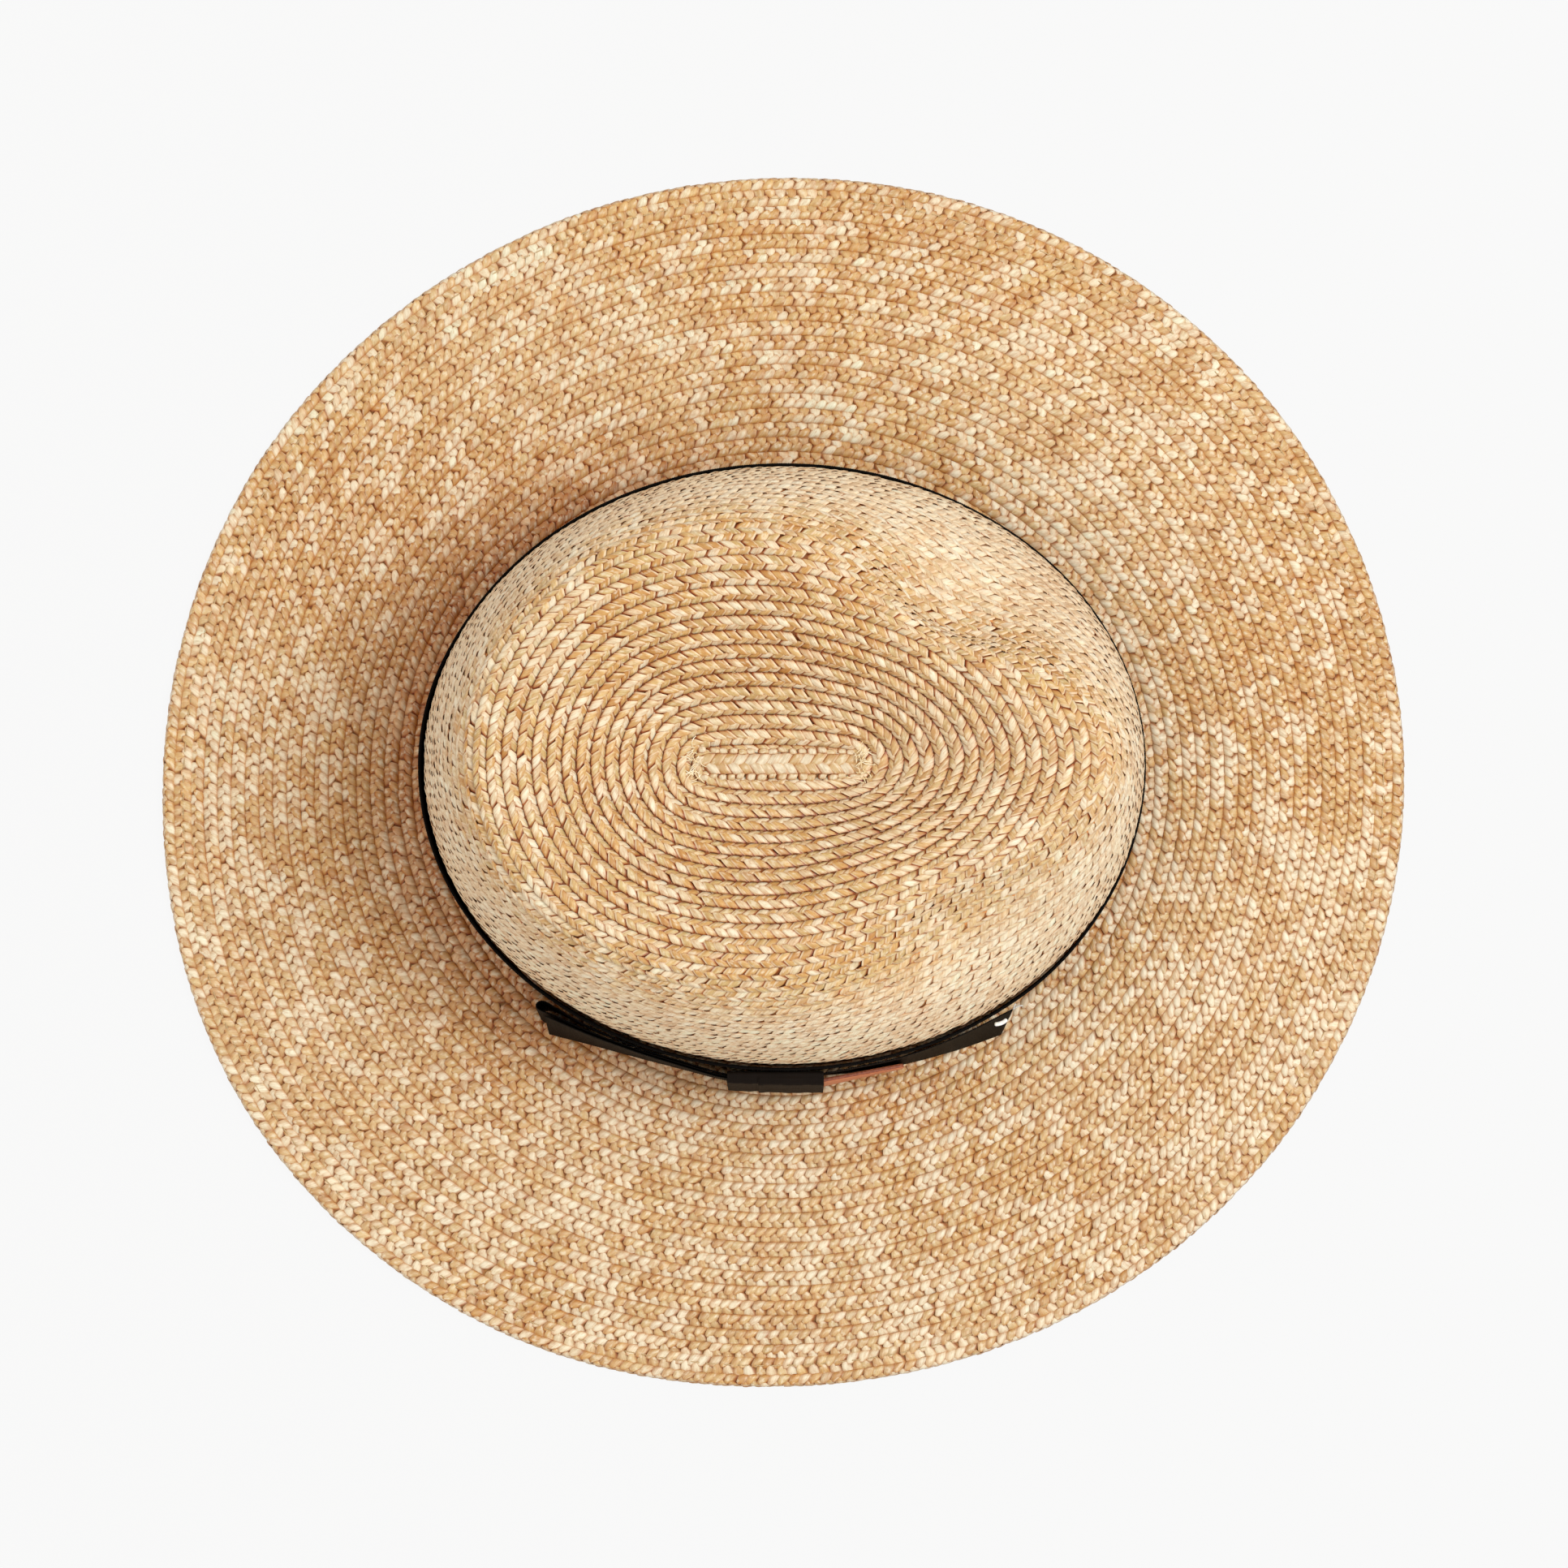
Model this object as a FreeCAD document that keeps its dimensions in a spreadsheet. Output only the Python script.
import FreeCAD, Part
import os
import math
import Sketcher
from FreeCAD import Placement, Rotation, Vector

# Wide-brim sewn straw hat with a pinched teardrop crown, a grosgrain hatband with a
# flat side bow and a leather tab.  Millimetres, +Z up, +X is the wearer's front,
# +Y the wearer's left.  The origin is the centre of the head opening, on the plane
# where the crown meets the brim.  The bow is on the wearer's right (-Y); its own left
# and right are as seen facing it, so its left is towards the back (-X).

os.makedirs("parts", exist_ok=True)
doc = FreeCAD.newDocument("straw_fedora")

# ---------------------------------------------------------------- sizes
SIZES = [
    # crown: plan shape is a straight core with round ends that grows to an oval
    ("core_half", 17.4), ("strip_half_width", 4.0), ("base_run", 83.3),
    ("wall_taper", 0.0553), ("band_top", 40.0), ("tip_high", 85.0),
    ("tip_shift_x", -1.7), ("tip_shift_y", -1.3), ("straw_thick", 2.0),
    ("crown_foot", 2.1), ("blend_run", 45.0),
    # the two front dents: bearing and spread in degrees, pull inwards and down
    ("dent_left_at", 50.0), ("dent_left_wide", 21.0),
    ("dent_left_in", 12.0), ("dent_left_down", 7.0),
    ("dent_right_at", -50.0), ("dent_right_wide", 22.0),
    ("dent_right_in", 7.0), ("dent_right_down", 4.0),
    # brim and its edge row
    ("brim_shift_y", -2.9), ("brim_drop", 6.9), ("brim_wave", 1.2), ("brim_gap", 0.1),
    ("edge_row_wide", 8.0), ("edge_row_thick", 3.2), ("edge_row_bottom", -8.0),
    ("edge_row_round", 1.2), ("edge_seam_in", 1.6),
    # hatband and bow ribbon
    ("band_bottom", 2.6), ("band_high", 35.0), ("band_thick", 0.8), ("band_gap", 0.15),
    ("band_flare", 1.0),
    ("bow_ribbon_thick", 0.45), ("bow_bottom", 3.0), ("bow_high", 33.0),
    ("knot_left", -16.3), ("knot_width", 27.7), ("knot_ribbon_thick", 0.5),
    # leather tab
    ("tab_length", 24.8), ("tab_height", 22.0), ("tab_thick", 1.3), ("tab_corner", 1.5),
    # tip strip, pin and threads
    ("strip_length", 44.0), ("strip_thick", 1.2), ("strip_round", 0.5), ("strip_gap", 0.05),
    ("pin_radius", 0.6), ("pin_bend_radius", 4.5), ("thread_radius", 0.3),
    ("thread_gap", 0.05), ("thread_end_radius", 0.25), ("thread_end_length", 3.0),
    # sweatband inside the head opening, its seam and size tag
    ("sweat_bottom", 2.4), ("sweat_high", 33.0), ("sweat_thick", 1.0), ("sweat_gap", 0.15),
    ("sweat_seam_up", 2.0),
    ("tag_length", 18.0), ("tag_height", 12.0), ("tag_thick", 0.5),
]

# Crest, the ridge round the teardrop: bearing in degrees from the front,
# run out from the tip strip, height
CREST = [
    (0, 65.0, 110.0), (20, 52.0, 109.0), (40, 40.5, 108.5), (55, 38.5, 108.0),
    (72, 42.0, 108.0), (92, 50.5, 108.0), (130, 60.0, 106.0), (180, 61.0, 104.0),
    (230, 56.5, 106.0), (268, 48.5, 108.0), (288, 40.0, 108.0), (305, 37.0, 108.0),
    (322, 41.0, 108.5), (340, 52.5, 109.0),
]
# Brim outline: radius from the brim centre, at even bearings from the front
BRIM_RADII = [182.8, 182.4, 180.4, 178.3, 178.8, 181.4, 183.1, 185.6, 182.6, 178.1, 178.6, 181.2]

for k, (bearing, run, height) in enumerate(CREST, start=1):
    SIZES.append(("crest_run_k%02d" % k, run))
    SIZES.append(("crest_high_k%02d" % k, height))
for k, radius in enumerate(BRIM_RADII, start=1):
    SIZES.append(("brim_radius_k%02d" % k, radius))

sheet = doc.addObject("Spreadsheet::Sheet", "Sizes")
for row, (name, value) in enumerate(SIZES, start=1):
    sheet.set("A%d" % row, name)
    sheet.set("B%d" % row, "%g" % value)
    sheet.setAlias("B%d" % row, name)
doc.recompute()
size = {name: float(getattr(sheet, name)) for name, value in SIZES}


def numbered(prefix, count):
    """The sizes prefix_k01, prefix_k02 and so on."""
    return [size["%s_k%02d" % (prefix, k)] for k in range(1, count + 1)]


CREST_AT = [station[0] for station in CREST]
CREST_RUN = numbered("crest_run", len(CREST))
CREST_HIGH = numbered("crest_high", len(CREST))
BRIM_RADIUS = numbered("brim_radius", len(BRIM_RADII))
BRIM_AT = [360 // len(BRIM_RADII) * k for k in range(len(BRIM_RADII))]
STRAW = size["straw_thick"]


# ---------------------------------------------------------------- document helpers
def origin_feature(body, role):
    return next(f for f in body.Origin.OriginFeatures if f.Role == role)


def new_body(label):
    body = doc.addObject("PartDesign::Body", label)
    body.Label = label
    return body


def new_sketch(body, name, plane="XY_Plane", offset=None):
    """Sketch on an origin plane, moved along its normal by an expression."""
    sketch = body.newObject("Sketcher::SketchObject", name)
    sketch.AttachmentSupport = [(origin_feature(body, plane), "")]
    sketch.MapMode = "FlatFace"
    if offset is not None:
        sketch.setExpression("AttachmentOffset.Base.z", offset)
    return sketch


def drive(sketch, constraint, expression):
    """Add a dimension and bind it to an expression."""
    index = sketch.addConstraint(constraint)
    sketch.setExpression("Constraints[%d]" % index, expression)


def poly_sketch(body, name, points, plane="XY_Plane", offset=None):
    """Closed polygon through (x, y) points."""
    sketch = new_sketch(body, name, plane, offset)
    count = len(points)
    for k in range(count):
        start = Vector(*points[k], 0)
        end = Vector(*points[(k + 1) % count], 0)
        sketch.addGeometry(Part.LineSegment(start, end), False)
    for k in range(count):
        sketch.addConstraint(Sketcher.Constraint("Coincident", k, 2, (k + 1) % count, 1))
    return sketch


def rectangle_sketch(body, name, low, high, anchor, length, width):
    """Upright rectangle held by an anchor constraint; length and width are expressions."""
    corners = [low, (high[0], low[1]), high, (low[0], high[1])]
    sketch = poly_sketch(body, name, corners)
    for k, direction in enumerate(("Horizontal", "Vertical") * 2):
        sketch.addConstraint(Sketcher.Constraint(direction, k))
    sketch.addConstraint(anchor)
    drive(sketch, Sketcher.Constraint("Distance", 0, high[0] - low[0]), length)
    drive(sketch, Sketcher.Constraint("Distance", 1, high[1] - low[1]), width)
    return sketch


def oval_sketch(body, name, z, offset):
    """Oval of the crown wall at height z, grown by offset; both are expressions."""
    sketch = new_sketch(body, name, "XY_Plane", z)
    start_oval = Part.Ellipse(Vector(100, 0, 0), Vector(0, 80, 0), Vector(0, 0, 0))
    sketch.addGeometry(start_oval, False)
    sketch.exposeInternalGeometry(0)
    sketch.addConstraint(Sketcher.Constraint("Coincident", 0, 3, -1, 1))
    sketch.addConstraint(Sketcher.Constraint("Horizontal", 1))
    half_minor = ("Sizes.strip_half_width + Sizes.base_run - Sizes.wall_taper * %s + %s"
                  % (z, offset))
    drive(sketch, Sketcher.Constraint("Distance", 1, 200.0),
          "2 * (Sizes.core_half + %s)" % half_minor)
    drive(sketch, Sketcher.Constraint("Distance", 2, 160.0), "2 * (%s)" % half_minor)
    return sketch


def loft(body, name, first, second, subtract=False):
    kind = "Subtractive" if subtract else "Additive"
    feature = body.newObject("PartDesign::%sLoft" % kind, name)
    feature.Profile = first
    feature.Sections = [second]
    feature.Ruled = True


def pad(body, name, profile, length):
    """Pad a sketch by an expression and compute it."""
    feature = body.newObject("PartDesign::Pad", name)
    feature.Profile = profile
    feature.setExpression("Length", length)
    doc.recompute()
    return feature


def fillet(body, name, base, wanted, radius):
    """Round the edges of base for which wanted(edge) is true."""
    names = ["Edge%d" % i for i, edge in enumerate(base.Shape.Edges, start=1) if wanted(edge)]
    feature = body.newObject("PartDesign::Fillet", name)
    feature.Base = (base, names)
    feature.setExpression("Radius", radius)


def shape_feature(label, shape):
    feature = doc.addObject("Part::Feature", label)
    feature.Label = label
    feature.Shape = shape
    return feature


# ---------------------------------------------------------------- outline helpers
def strip_outline(line, thick):
    """Closed outline of a thin strip that follows the centre line."""
    left, right = [], []
    for k, (x, y) in enumerate(line):
        before = line[max(k - 1, 0)]
        after = line[min(k + 1, len(line) - 1)]
        along_x, along_y = after[0] - before[0], after[1] - before[1]
        length = math.hypot(along_x, along_y)
        side_x = -along_y / length * thick / 2
        side_y = along_x / length * thick / 2
        left.append((x + side_x, y + side_y))
        right.append((x - side_x, y - side_y))
    return left + right[::-1]


def edge_normal(start, end):
    """Unit normal on the right-hand side of a segment."""
    along_x, along_y = end[0] - start[0], end[1] - start[1]
    length = math.hypot(along_x, along_y)
    return along_y / length, -along_x / length


def offset_closed(points, distance):
    """Offset a closed counter-clockwise polyline outwards, with mitred corners."""
    out = []
    for k, point in enumerate(points):
        normal = edge_normal(points[k - 1], point)
        next_normal = edge_normal(point, points[(k + 1) % len(points)])
        mitre_x, mitre_y = normal[0] + next_normal[0], normal[1] + next_normal[1]
        length = math.hypot(mitre_x, mitre_y)
        mitre_x, mitre_y = mitre_x / length, mitre_y / length
        # the limit keeps sharp corners from shooting out
        cosine = max(mitre_x * normal[0] + mitre_y * normal[1], 0.5)
        out.append((point[0] + mitre_x * distance / cosine,
                    point[1] + mitre_y * distance / cosine))
    return out


def thread_octagon():
    """Corners of the eight-sided thread section, centred on zero."""
    angles = [math.pi / 4 * (k + 0.5) for k in range(8)]
    return [(size["thread_radius"] * math.cos(angle), size["thread_radius"] * math.sin(angle))
            for angle in angles]


# ---------------------------------------------------------------- curved surfaces
RING_POINTS = 90        # ribs round the crown and the brim
LEVEL_TOLERANCE = 0.01  # for finding a flat rim by its height
CLOSED_TOLERANCE = 1e-3


def ring_bearings():
    """Evenly spaced bearings, starting at the back."""
    return [180.0 + 360.0 * i / RING_POINTS for i in range(RING_POINTS)]


def ring_value(deg, knots, values):
    """Smooth periodic curve through the knots; the angles are degrees, the first is 0."""
    angle = deg % 360.0
    count = len(knots)
    first = max(k for k in range(count) if knots[k] <= angle)

    def knot(j):
        return knots[j % count] + 360.0 * (j // count), values[j % count]

    (a0, v0), (a1, v1), (a2, v2), (a3, v3) = [knot(first + j) for j in (-1, 0, 1, 2)]
    step = a2 - a1
    x = (angle - a1) / step
    slope1 = (v2 - v0) / (a2 - a0) * step
    slope2 = (v3 - v1) / (a3 - a1) * step
    return ((2 * x ** 3 - 3 * x ** 2 + 1) * v1 + (x ** 3 - 2 * x ** 2 + x) * slope1
            + (-2 * x ** 3 + 3 * x ** 2) * v2 + (x ** 3 - x ** 2) * slope2)


def ring_surface(grid):
    """Smooth closed surface through a grid of ribs (bearing first, then outwards)."""
    ribs, levels = len(grid), len(grid[0])
    ring_poles = []
    for j in range(levels):
        ring = Part.BSplineCurve()
        ring.interpolate(Points=[grid[i][j] for i in range(ribs)], PeriodicFlag=True,
                         Parameters=[float(i) for i in range(ribs + 1)])
        ring_poles.append(ring.getPoles())
    poles = []
    for i in range(len(ring_poles[0])):
        rib = Part.BSplineCurve()
        rib.interpolate(Points=[ring_poles[j][i] for j in range(levels)],
                        Parameters=[float(j) for j in range(levels)])
        poles.append(rib.getPoles())
    surface = Part.BSplineSurface()
    surface.buildFromPolesMultsKnots(poles, ring.getMultiplicities(), rib.getMultiplicities(),
                                     ring.getKnots(), rib.getKnots(), True, False,
                                     ring.Degree, rib.Degree)
    return surface.toShape()


def rim(face, z):
    """The closed end edge of a ring surface that lies at height z."""
    for edge in face.Edges:
        points = edge.discretize(9)
        level = all(abs(p.z - z) <= LEVEL_TOLERANCE for p in points)
        if level and points[0].distanceToPoint(points[-1]) < CLOSED_TOLERANCE:
            return edge
    raise RuntimeError("rim not found")


def closed_solid(faces):
    """Sew faces into one outward-facing solid."""
    shell = Part.makeShell(faces)
    shell.sewShape()
    solid = Part.makeSolid(Part.makeShell(shell.Faces))
    if solid.Volume < 0:
        solid.reverse()
    return solid


# ---------------------------------------------------------------- tip strip
def build_tip_strip():
    """The straight start of the braid, laid flat along the middle of the tip."""
    body = new_body("crown_start_strip")
    half_length, half_width = size["strip_length"] / 2, size["strip_half_width"]
    sketch = rectangle_sketch(body, "StripOutline", (-half_length, -half_width),
                              (half_length, half_width),
                              Sketcher.Constraint("Symmetric", 0, 1, 1, 2, -1, 1),
                              "Sizes.strip_length", "2 * Sizes.strip_half_width")
    block = pad(body, "StripPad", sketch, "Sizes.strip_thick")

    def on_top(edge):
        return all(abs(v.Z - size["strip_thick"]) < 1e-6 for v in edge.Vertexes)

    fillet(body, "StripRound", block, on_top, "Sizes.strip_round")
    body.Placement = Placement(
        Vector(size["tip_shift_x"], size["tip_shift_y"], size["tip_high"] + size["strip_gap"]),
        Rotation())
    return body


# ---------------------------------------------------------------- crown braid
RIB_POINTS = 44    # points kept on each crown rib
TOP_POINTS = 40    # raw points from the tip strip to the crest
SIDE_STEPS = 79    # raw steps from the crest down to the band top
WALL_STEPS = 12    # raw steps from the band top to the foot
TOP_SOFTNESS = 0.06    # rounds the start of the rise beside the tip strip
PARABOLA_SHARE = 0.45  # of the rise to the crest; a sine wave gives the rest
# squareness of the shoulder: at the sides and back, extra at the front, spread in degrees
SHOULDER_BASE, SHOULDER_FRONT, SHOULDER_SPREAD = 1.9, 1.1, 28.0
# dents down the shoulder, in degrees from the crest (0) to the band top (90):
# deepest level, spread above it, spread below it
DENT_LEVELS = {"left": (30.0, 18.0, 26.0), "right": (32.0, 18.0, 28.0)}
DENT_FADE = 20.0   # the dents fade out over these last degrees


def turn_between(deg, centre):
    """Signed angle from centre to deg, within half a turn."""
    return (deg - centre + 180.0) % 360.0 - 180.0


def crown_plan(angle, run):
    """Plan position at an angle (radians) and run out from the tip strip."""
    x = min(max(run / size["blend_run"], 0.0), 1.0)
    oval = x * x * (3 - 2 * x)
    c, s = math.cos(angle), math.sin(angle)
    straight = (15 * c - 10 * c ** 3 + 3 * c ** 5) / 8.0
    core = (1 - oval) * straight + oval * c
    reach = size["strip_half_width"] + run
    return (size["core_half"] * core + reach * c + size["tip_shift_x"] * (1 - oval),
            reach * s + size["tip_shift_y"] * (1 - oval))


def wall_run(z):
    return size["base_run"] - size["wall_taper"] * z


def dent_pull(deg, level):
    """How far both dents pull the shoulder inwards and down."""
    inwards = down = 0.0
    for side, (centre, above, below) in DENT_LEVELS.items():
        turn = turn_between(deg, size["dent_%s_at" % side])
        depth = math.exp(-(turn / size["dent_%s_wide" % side]) ** 2)
        depth *= math.exp(-((level - centre) / (above if level < centre else below)) ** 2)
        depth *= min(max((90.0 - level) / DENT_FADE, 0.0), 1.0)
        inwards += size["dent_%s_in" % side] * depth
        down += size["dent_%s_down" % side] * depth
    return inwards, down


def crown_profile(deg):
    """Polyline (run, z) of the crown's outer skin, tip strip to foot."""
    crest_run = ring_value(deg, CREST_AT, CREST_RUN)
    crest_z = ring_value(deg, CREST_AT, CREST_HIGH)
    tip_z, band_z, foot_z = size["tip_high"], size["band_top"], size["crown_foot"]
    points = []
    full_rise = math.sqrt(1 + TOP_SOFTNESS ** 2) - TOP_SOFTNESS
    for k in range(TOP_POINTS):
        x = k / (TOP_POINTS - 1.0)
        soft = (math.sqrt(x * x + TOP_SOFTNESS ** 2) - TOP_SOFTNESS) / full_rise
        rise = (PARABOLA_SHARE * (2 * soft - soft * soft)
                + (1 - PARABOLA_SHARE) * math.sin(math.pi * x / 2) ** 2)
        points.append((crest_run * x, tip_z + (crest_z - tip_z) * rise))
    front = math.exp(-(turn_between(deg, 0.0) / SHOULDER_SPREAD) ** 2)
    power = SHOULDER_BASE + SHOULDER_FRONT * front
    for k in range(1, SIDE_STEPS + 1):
        phi = math.pi / 2 * k / SIDE_STEPS
        z = band_z + (crest_z - band_z) * max(math.cos(phi), 0.0) ** (2.0 / power)
        run = crest_run + (wall_run(z) - crest_run) * math.sin(phi)
        inwards, down = dent_pull(deg, math.degrees(phi))
        points.append((run - inwards, z - down))
    for k in range(1, WALL_STEPS + 1):
        z = band_z + (foot_z - band_z) * k / WALL_STEPS
        points.append((wall_run(z), z))
    return points


def crown_rib(deg):
    """Points of one crown rib, evenly spaced along its length."""
    angle = math.radians(deg)
    raw = [Vector(*crown_plan(angle, run), z) for run, z in crown_profile(deg)]
    travel = [0.0]
    for start, end in zip(raw, raw[1:]):
        travel.append(travel[-1] + start.distanceToPoint(end))
    rib = []
    j = 0
    for k in range(RIB_POINTS):
        target = travel[-1] * k / (RIB_POINTS - 1.0)
        while j < len(raw) - 2 and travel[j + 1] < target:
            j += 1
        part = (target - travel[j]) / max(travel[j + 1] - travel[j], 1e-9)
        rib.append(raw[j] + (raw[j + 1] - raw[j]) * part)
    return rib


def inner_point(grid, i, j):
    """Point one straw thickness inside a grid point; tip and foot rims stay level."""
    if j == 0:
        return grid[i][j] - Vector(0, 0, STRAW)
    last = len(grid[0]) - 1
    around = grid[(i + 1) % len(grid)][j] - grid[i - 1][j]
    along = grid[i][min(j + 1, last)] - grid[i][j - 1]
    outward = around.cross(along) * -1.0
    if j == last:
        outward.z = 0
    outward.normalize()
    return grid[i][j] - outward * STRAW


def build_crown():
    """One skin of overlapped braid: outer face, inner face, flat tip, flat foot."""
    outer_grid = [crown_rib(deg) for deg in ring_bearings()]
    inner_grid = [[inner_point(outer_grid, i, j) for j in range(RIB_POINTS)]
                  for i in range(RING_POINTS)]
    outer = ring_surface(outer_grid)
    inner = ring_surface(inner_grid)
    tip_z, foot_z = size["tip_high"], size["crown_foot"]
    tip_outer = Part.Face(Part.Wire([rim(outer, tip_z)]))
    tip_inner = Part.Face(Part.Wire([rim(inner, tip_z - STRAW)]))
    foot = Part.makeRuledSurface(rim(outer, foot_z), rim(inner, foot_z))
    return shape_feature("crown_braid",
                         closed_solid([outer, inner, tip_outer, tip_inner, foot]))


# ---------------------------------------------------------------- brim
BRIM_POINTS = 13        # points from the head opening to the edge row
DROOP_POWER = 1.3
WAVE_TURN = 35.0        # phase of the brim wave, degrees
OUTLINE_POINTS = 72
OUTER_EDGE_RADIUS = 177.0  # at the curve's start, between the edge row's two outlines


def brim_outline(deg, inset=0.0, z=0.0):
    radius = ring_value(deg, BRIM_AT, BRIM_RADIUS) - inset
    angle = math.radians(deg)
    return Vector(radius * math.cos(angle),
                  size["brim_shift_y"] + radius * math.sin(angle), z)


def outline_curve(inset, z=0.0):
    """Closed curve that runs a fixed inset inside the brim outline."""
    curve = Part.BSplineCurve()
    step = 360.0 / OUTLINE_POINTS
    curve.interpolate([brim_outline(step * k, inset, z) for k in range(OUTLINE_POINTS)],
                      PeriodicFlag=True)
    return curve


def brim_top(deg, part):
    """Height of the brim's top face, a part of the way out (0 to 1)."""
    wave = (size["brim_wave"] * 4 * part * (1 - part)
            * math.sin(math.radians(2 * deg + WAVE_TURN)))
    return STRAW - size["brim_drop"] * part ** DROOP_POWER + wave


def build_brim():
    """A gently drooping ring from the head opening out to the edge row."""
    half_width = size["strip_half_width"] + size["base_run"] - STRAW - size["brim_gap"]
    half_length = size["core_half"] + half_width
    top_grid = []
    for deg in ring_bearings():
        angle = math.radians(deg)
        start = Vector(half_length * math.cos(angle), half_width * math.sin(angle), 0)
        end = brim_outline(deg, size["edge_row_wide"] + size["brim_gap"])
        rib = []
        for j in range(BRIM_POINTS):
            part = j / (BRIM_POINTS - 1.0)
            point = start + (end - start) * part
            rib.append(Vector(point.x, point.y, brim_top(deg, part)))
        top_grid.append(rib)
    low_grid = [[point - Vector(0, 0, STRAW) for point in rib] for rib in top_grid]
    top, low = ring_surface(top_grid), ring_surface(low_grid)
    walls = [Part.makeRuledSurface(rim(top, z), rim(low, z - STRAW))
             for z in (STRAW, STRAW - size["brim_drop"])]
    return shape_feature("brim_braid", closed_solid([top, low] + walls))


def build_edge_row():
    """The thick outermost row, the lowest part of the hat."""
    body = new_body("brim_edge_row")
    sketch = new_sketch(body, "EdgeOutline", "XY_Plane", "Sizes.edge_row_bottom")
    for inset in (0.0, size["edge_row_wide"]):
        sketch.addGeometry(outline_curve(inset), False)
    row = pad(body, "EdgePad", sketch, "Sizes.edge_row_thick")

    def outer_loop(edge):
        points = edge.discretize(5)
        start = points[0]
        level = abs(start.z - points[2].z) < 1e-6
        closed = start.distanceToPoint(points[-1]) < CLOSED_TOLERANCE
        radius = math.hypot(start.x, start.y - size["brim_shift_y"])
        return level and closed and radius > OUTER_EDGE_RADIUS

    fillet(body, "EdgeRound", row, outer_loop, "Sizes.edge_row_round")
    return body


# ---------------------------------------------------------------- hatband and sweatband
def oval_sleeve(label, prefix, low, high, outer, inner, flare="0"):
    """Thin sleeve along the crown wall; flare widens its top edge."""
    body = new_body(label)
    for side, offset, result in (("Outer", outer, "Body"), ("Inner", inner, "Inside")):
        bottom = oval_sketch(body, prefix + side + "Low", low, offset)
        top = oval_sketch(body, prefix + side + "High", high, "%s + %s" % (offset, flare))
        loft(body, prefix + result, bottom, top, subtract=(side == "Inner"))
    return body


def build_hatband():
    return oval_sleeve("hatband_ribbon", "Band",
                       "Sizes.band_bottom", "(Sizes.band_bottom + Sizes.band_high)",
                       outer="Sizes.band_gap + Sizes.band_thick",
                       inner="Sizes.band_gap", flare="Sizes.band_flare")


SWEAT_OUTER = "0 - Sizes.straw_thick - Sizes.sweat_gap"
SWEAT_INNER = SWEAT_OUTER + " - Sizes.sweat_thick"


def build_sweatband():
    return oval_sleeve("sweatband", "Sweat",
                       "Sizes.sweat_bottom", "(Sizes.sweat_bottom + Sizes.sweat_high)",
                       outer=SWEAT_OUTER, inner=SWEAT_INNER)


# ---------------------------------------------------------------- bow
BOW_LOW = "Sizes.bow_bottom"
BOW_HIGH = "(Sizes.bow_bottom + Sizes.bow_high)"

# Centre lines (x, y) of the ribbons at the bow's lower and upper edges.
# The left tail stands off the band at its free end.
LEFT_TAIL_LOW = [(-5.0, -91.6), (-16.3, -90.9), (-30.0, -87.5),
                 (-42.0, -84.0), (-56.0, -79.6), (-68.4, -75.7)]
LEFT_TAIL_HIGH = [(-5.0, -89.9), (-16.3, -89.5), (-30.0, -85.75),
                  (-42.0, -82.0), (-56.0, -76.9), (-68.4, -71.6)]
# The right tail follows the band at its top edge and flares at its lower edge.
RIGHT_TAIL_LOW = [(1.0, -89.6), (11.4, -89.3), (23.0, -88.3),
                  (35.3, -86.1), (50.0, -82.2), (63.3, -77.6)]
RIGHT_TAIL_HIGH = [(1.0, -88.6), (11.4, -88.3), (23.0, -86.2),
                   (35.3, -83.6), (50.0, -78.2), (65.3, -70.6)]
# Loop, counter-clockwise: side next to the band, round end, side next to the tail
LOOP_LOW = [
    (-5.0, -89.9), (-16.3, -89.2), (-30.0, -85.6), (-42.0, -81.6), (-56.0, -76.0), (-66.0, -71.2),
    (-69.2, -70.6), (-70.9, -71.6), (-70.7, -73.2), (-69.0, -74.3),
    (-66.0, -75.2), (-56.0, -78.6), (-42.0, -83.1), (-30.0, -86.6), (-16.3, -90.1), (-5.0, -90.9),
]
LOOP_HIGH = [
    (-5.0, -88.4), (-16.3, -88.3), (-30.0, -84.4), (-42.0, -80.6), (-56.0, -74.7), (-66.0, -68.9),
    (-68.9, -67.4), (-70.6, -68.0), (-70.7, -69.3), (-69.1, -70.3),
    (-66.0, -71.4), (-56.0, -76.0), (-42.0, -81.3), (-30.0, -85.05), (-16.3, -88.9), (-5.0, -89.1),
]
# Inner outline of the knot (y, z), counter-clockwise
KNOT_INSIDE = [
    (-87.95, 36.3), (-88.3, 36.75), (-89.7, 36.75), (-90.35, 36.5), (-90.75, 35.8),
    (-93.75, 5.0), (-93.7, 3.3), (-92.9, 2.65), (-88.75, 2.65),
]


def build_tail(label, low_line, high_line):
    body = new_body(label)
    thick = size["bow_ribbon_thick"]
    low = poly_sketch(body, label + "_low", strip_outline(low_line, thick), offset=BOW_LOW)
    high = poly_sketch(body, label + "_high", strip_outline(high_line, thick), offset=BOW_HIGH)
    loft(body, label + "_strip", low, high)
    return body


def build_left_loop():
    """A flattened tube of ribbon between the band and the left tail."""
    body = new_body("bow_left_loop")
    half = size["bow_ribbon_thick"] / 2
    for side, grow, result in (("Outer", half, "Body"), ("Inner", -half, "Inside")):
        low = poly_sketch(body, "Loop%sLow" % side, offset_closed(LOOP_LOW, grow),
                          offset=BOW_LOW)
        high = poly_sketch(body, "Loop%sHigh" % side, offset_closed(LOOP_HIGH, grow),
                           offset=BOW_HIGH)
        loft(body, "Loop" + result, low, high, subtract=(side == "Inner"))
    return body


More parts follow.
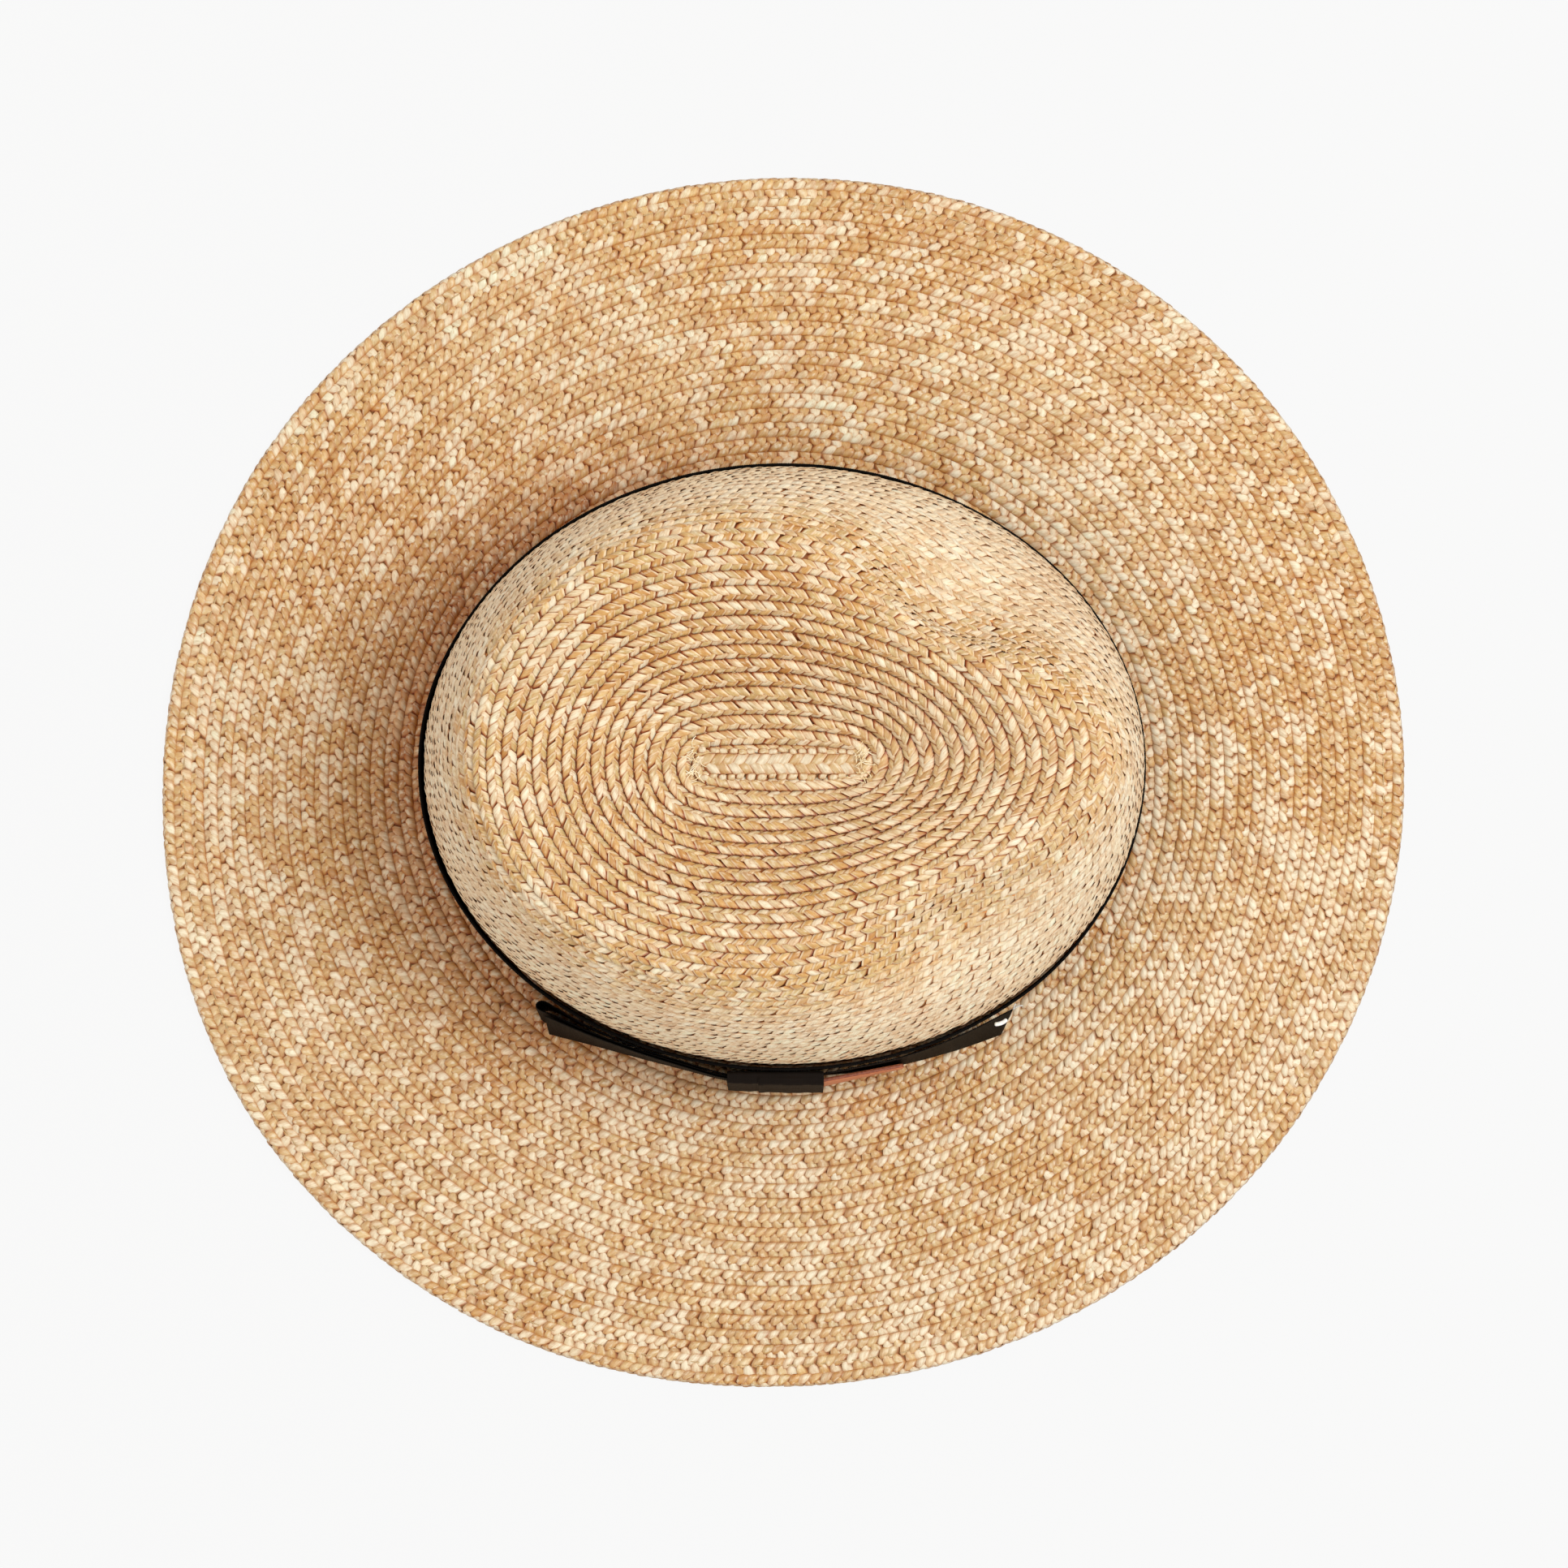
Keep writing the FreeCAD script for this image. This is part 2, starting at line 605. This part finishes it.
def build_knot():
    """A band of ribbon wrapped round the middle of the bow."""
    body = new_body("bow_knot")
    outline = offset_closed(KNOT_INSIDE, size["knot_ribbon_thick"])
    outside = poly_sketch(body, "KnotOutside", outline, "YZ_Plane", "Sizes.knot_left")
    block = pad(body, "KnotPad", outside, "Sizes.knot_width")
    hollow_limit = 0.6 * block.Shape.Volume
    inside = poly_sketch(body, "KnotInside", KNOT_INSIDE, "YZ_Plane", "Sizes.knot_left")
    hollow = body.newObject("PartDesign::Pocket", "KnotHollow")
    hollow.Profile = inside
    hollow.Type = 1  # through all
    hollow.Midplane = True
    doc.recompute()
    # guards against a two-sided pocket that leaves the block uncut: cut along +X only
    if not hollow.Shape.Volume < hollow_limit:
        hollow.Midplane = False
        hollow.Reversed = True
        doc.recompute()
    if not hollow.Shape.Volume < hollow_limit:
        raise RuntimeError("knot hollow cut nothing")
    return body


# ---------------------------------------------------------------- leather tab
TAB_CORNER_AT = Vector(10.2, -91.66, 8.0)  # lower left corner of the back face
TAB_ALONG = Vector(24.4, 4.59, 0.0)
TAB_UP = Vector(0.0, 1.9, 22.0)


def build_tab():
    """A plain patch tucked behind the knot's right side, leaning out at the bottom."""
    body = new_body("leather_tab")
    sketch = rectangle_sketch(body, "TabOutline", (0, 0),
                              (size["tab_length"], size["tab_height"]),
                              Sketcher.Constraint("Coincident", 0, 1, -1, 1),
                              "Sizes.tab_length", "Sizes.tab_height")
    patch = pad(body, "TabPad", sketch, "Sizes.tab_thick")

    def free_corner(edge):
        start, end = edge.Vertexes[0].Point, edge.Vertexes[-1].Point
        return abs(start.z - end.z) > 0.5 and start.x > 1.0

    fillet(body, "TabCorners", patch, free_corner, "Sizes.tab_corner")
    # local x runs along the tab, local y up it, local z out of its face
    along = Vector(TAB_ALONG)
    along.normalize()
    out = along.cross(TAB_UP)
    out.normalize()
    up = out.cross(along)
    turn = FreeCAD.Matrix(along.x, up.x, out.x, 0,
                          along.y, up.y, out.y, 0,
                          along.z, up.z, out.z, 0,
                          0, 0, 0, 1)
    body.Placement = Placement(TAB_CORNER_AT, Placement(turn).Rotation)
    return body


# ---------------------------------------------------------------- pin and thread end
PIN_AT = Vector(62.0, -73.5, 37.2)  # middle of the bent pin
PIN_TURN = -62.0
PIN_BEND = 60.0
THREAD_END_AT = Vector(65.9, -69.6, 34.6)
THREAD_END_TILT = Rotation(Vector(1, 0.6, 0), 55)


def build_pin():
    """A short bent nylon tack at the right tail's top corner."""
    body = new_body("bow_tack_pin")
    bend_radius = size["pin_bend_radius"]
    section = new_sketch(body, "PinSection", "YZ_Plane")
    circle = Part.Circle(Vector(bend_radius, 0, 0), Vector(0, 0, 1), size["pin_radius"])
    section.addGeometry(circle, False)
    drive(section, Sketcher.Constraint("Radius", 0, size["pin_radius"]), "Sizes.pin_radius")
    bend = body.newObject("PartDesign::Revolution", "PinBody")
    bend.Profile = section
    bend.ReferenceAxis = (origin_feature(body, "Z_Axis"), [""])
    bend.Angle = PIN_BEND
    bend.Midplane = True
    body.Placement = (Placement(PIN_AT, Rotation(Vector(0, 0, 1), PIN_TURN))
                      * Placement(Vector(0, -bend_radius, 0), Rotation()))
    return body


def build_thread_end():
    """A short cut thread end at the same corner."""
    thread = doc.addObject("Part::Cylinder", "bow_thread_end")
    thread.Label = "bow_thread_end"
    thread.setExpression("Radius", "Sizes.thread_end_radius")
    thread.setExpression("Height", "Sizes.thread_end_length")
    thread.Placement = Placement(THREAD_END_AT, THREAD_END_TILT)
    return thread


# ---------------------------------------------------------------- seams
def build_sweatband_seam():
    """Thread round the inside of the sweatband, just above the head opening."""
    label = "sweatband_stitching"
    body = new_body(label)
    path = oval_sketch(body, label + "_path", "(Sizes.sweat_bottom + Sizes.sweat_seam_up)",
                       SWEAT_INNER + " - Sizes.thread_radius - Sizes.thread_gap")
    doc.recompute()
    box = path.Shape.BoundBox
    corners = [(box.XMax + x, box.ZMax + y) for x, y in thread_octagon()]
    section = poly_sketch(body, label + "_section", corners, "XZ_Plane")
    thread = body.newObject("PartDesign::AdditivePipe", label + "_thread")
    thread.Profile = section
    thread.Spine = (path, ["Edge1"])
    return body


def build_edge_seam():
    """Thread on the edge row's top face, near its inner side."""
    z = (size["edge_row_bottom"] + size["edge_row_thick"]
         + size["thread_radius"] + size["thread_gap"])
    curve = outline_curve(size["edge_row_wide"] - size["edge_seam_in"], z)
    spine = Part.Wire([curve.toShape()])
    start = curve.value(curve.FirstParameter)
    side = curve.tangent(curve.FirstParameter)[0].cross(Vector(0, 0, 1))
    side.normalize()
    corners = [start + side * x + Vector(0, 0, y) for x, y in thread_octagon()]
    section = Part.makePolygon(corners + corners[:1])
    return shape_feature("edge_row_stitching", spine.makePipeShell([section], True, False))


# ---------------------------------------------------------------- size tag
TAG_BOTTOM = 12.0
TAG_WALL_Z = 14.0    # height at which the sweatband's inner face is measured
TAG_INWARDS = 0.95   # from that face to the tag's lower rear edge
TAG_LEAN = 3.2       # degrees, to follow the wall


def build_size_tag():
    """Small tag on the inside of the sweatband, at the back."""
    tag = doc.addObject("Part::Box", "sweatband_size_tag")
    tag.Label = "sweatband_size_tag"
    tag.setExpression("Length", "Sizes.tag_thick")
    tag.setExpression("Width", "Sizes.tag_length")
    tag.setExpression("Height", "Sizes.tag_height")
    back = (size["core_half"] + size["strip_half_width"] + wall_run(TAG_WALL_Z)
            - STRAW - size["sweat_gap"] - size["sweat_thick"])
    tag.Placement = Placement(
        Vector(-back + TAG_INWARDS, -size["tag_length"] / 2, TAG_BOTTOM),
        Rotation(Vector(0, 1, 0), TAG_LEAN))
    return tag


# ---------------------------------------------------------------- build, check and write
parts = [
    build_tip_strip(),
    build_crown(),
    build_brim(),
    build_edge_row(),
    build_hatband(),
    build_tail("bow_left_tail", LEFT_TAIL_LOW, LEFT_TAIL_HIGH),
    build_left_loop(),
    build_tail("bow_right_tail", RIGHT_TAIL_LOW, RIGHT_TAIL_HIGH),
    build_knot(),
    build_tab(),
    build_pin(),
    build_thread_end(),
    build_sweatband(),
    build_sweatband_seam(),
    build_edge_seam(),
    build_size_tag(),
]

doc.recompute()
for obj in doc.Objects:
    bad = [state for state in obj.State if state in ("Invalid", "Error")]
    if bad:
        raise RuntimeError("%s: %s" % (obj.Name, bad))
for obj in parts:
    shape = obj.Shape
    if shape.isNull() or not shape.isValid():
        raise RuntimeError("bad shape: " + obj.Label)
    if shape.Volume <= 0:
        raise RuntimeError("no volume: " + obj.Label)
    if len(shape.Solids) != 1:
        raise RuntimeError("%s has %d solids" % (obj.Label, len(shape.Solids)))
for obj in parts:
    obj.Shape.exportStep("parts/%s.step" % obj.Label)
